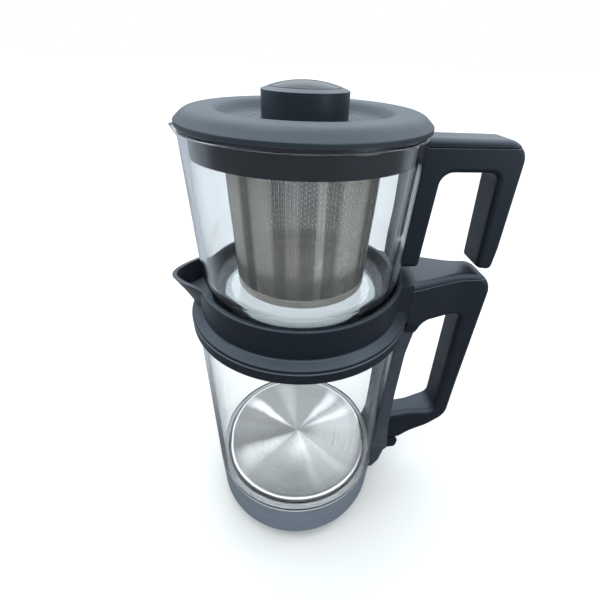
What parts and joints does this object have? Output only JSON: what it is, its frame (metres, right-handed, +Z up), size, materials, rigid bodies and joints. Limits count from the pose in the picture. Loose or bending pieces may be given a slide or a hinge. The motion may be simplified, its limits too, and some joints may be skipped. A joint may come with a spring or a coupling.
{
  "type": "electric tea maker",
  "caption": "Stacked electric tea maker: a lidded glass teapot with a strainer basket nests in the collar of a glass kettle, which stands on a round power base.",
  "frame": {"origin": "on the table, at the axis of the kettle and its power base", "axes": "+Z up along that axis; +X towards both handles; the spouts point along -X"},
  "size_m": [0.2353, 0.158, 0.3505],
  "materials": {
    "black_plastic": "fine satin moulded texture",
    "gloss_black": "high gloss",
    "clear_glass": "clear borosilicate, slightly green at the edges",
    "plate_steel": "radially brushed",
    "mesh_steel": "fine perforated sheet",
    "screw_steel": "plain",
    "diffuser_aluminium": "as cast",
    "contact_brass": "polished",
    "silicone": "translucent food grade silicone",
    "foot_rubber": "soft matte",
    "grommet_rubber": "soft matte",
    "white_insulator": "plain insulating moulding"
  },
  "bodies": {
    "power_base": {"base_shell": "black_plastic", "base_bottom": "black_plastic", "foot_ring": "foot_rubber", "base_screws": "screw_steel", "base_connector": "black_plastic", "base_contacts": "contact_brass", "cord_gland": "grommet_rubber", "terminal_block": "white_insulator"},
    "kettle": {"kettle_base_ring": "black_plastic", "bottom_cover": "black_plastic", "bottom_screws": "screw_steel", "kettle_socket": "black_plastic", "thermostat": "white_insulator", "heating_plate": "plate_steel", "diffuser_plate": "diffuser_aluminium", "heating_element": "diffuser_aluminium", "plate_seal": "silicone", "kettle_glass": "clear_glass", "collar_seal": "silicone", "collar": "black_plastic", "kettle_rail": "black_plastic", "kettle_handle": "black_plastic", "kettle_handle_cover": "black_plastic", "kettle_handle_screws": "screw_steel", "lever_pin": "screw_steel"},
    "switch": {"switch_lever": "black_plastic"},
    "teapot": {"teapot_glass": "clear_glass", "teapot_handle": "black_plastic", "teapot_handle_cover": "black_plastic", "teapot_handle_pegs": "black_plastic", "teapot_bond_pad": "silicone"},
    "basket": {"basket_cup": "mesh_steel", "basket_ring": "black_plastic"},
    "lid": {"lid_shell": "black_plastic", "lid_plug": "black_plastic", "lid_seal": "silicone", "lid_knob": "black_plastic", "knob_inlay": "gloss_black", "knob_screw": "screw_steel"}
  },
  "joints": [
    {"name": "kettle_lift", "type": "slide", "parent": "power_base", "child": "kettle", "axis": [0, 0, 1], "range_m": [0, 0.06]},
    {"name": "switch_press", "type": "hinge", "parent": "kettle", "child": "switch", "pos_m": [0.0742, 0, 0.033], "axis": [0, 1, 0], "range_deg": [0, 12]},
    {"name": "teapot_lift", "type": "slide", "parent": "kettle", "child": "teapot", "axis": [0, 0, 1], "range_m": [0, 0.1]},
    {"name": "basket_lift", "type": "slide", "parent": "teapot", "child": "basket", "axis": [0, 0, 1], "range_m": [0, 0.115]},
    {"name": "lid_lift", "type": "slide", "parent": "basket", "child": "lid", "axis": [0, 0, 1], "range_m": [0, 0.06]}
  ]
}
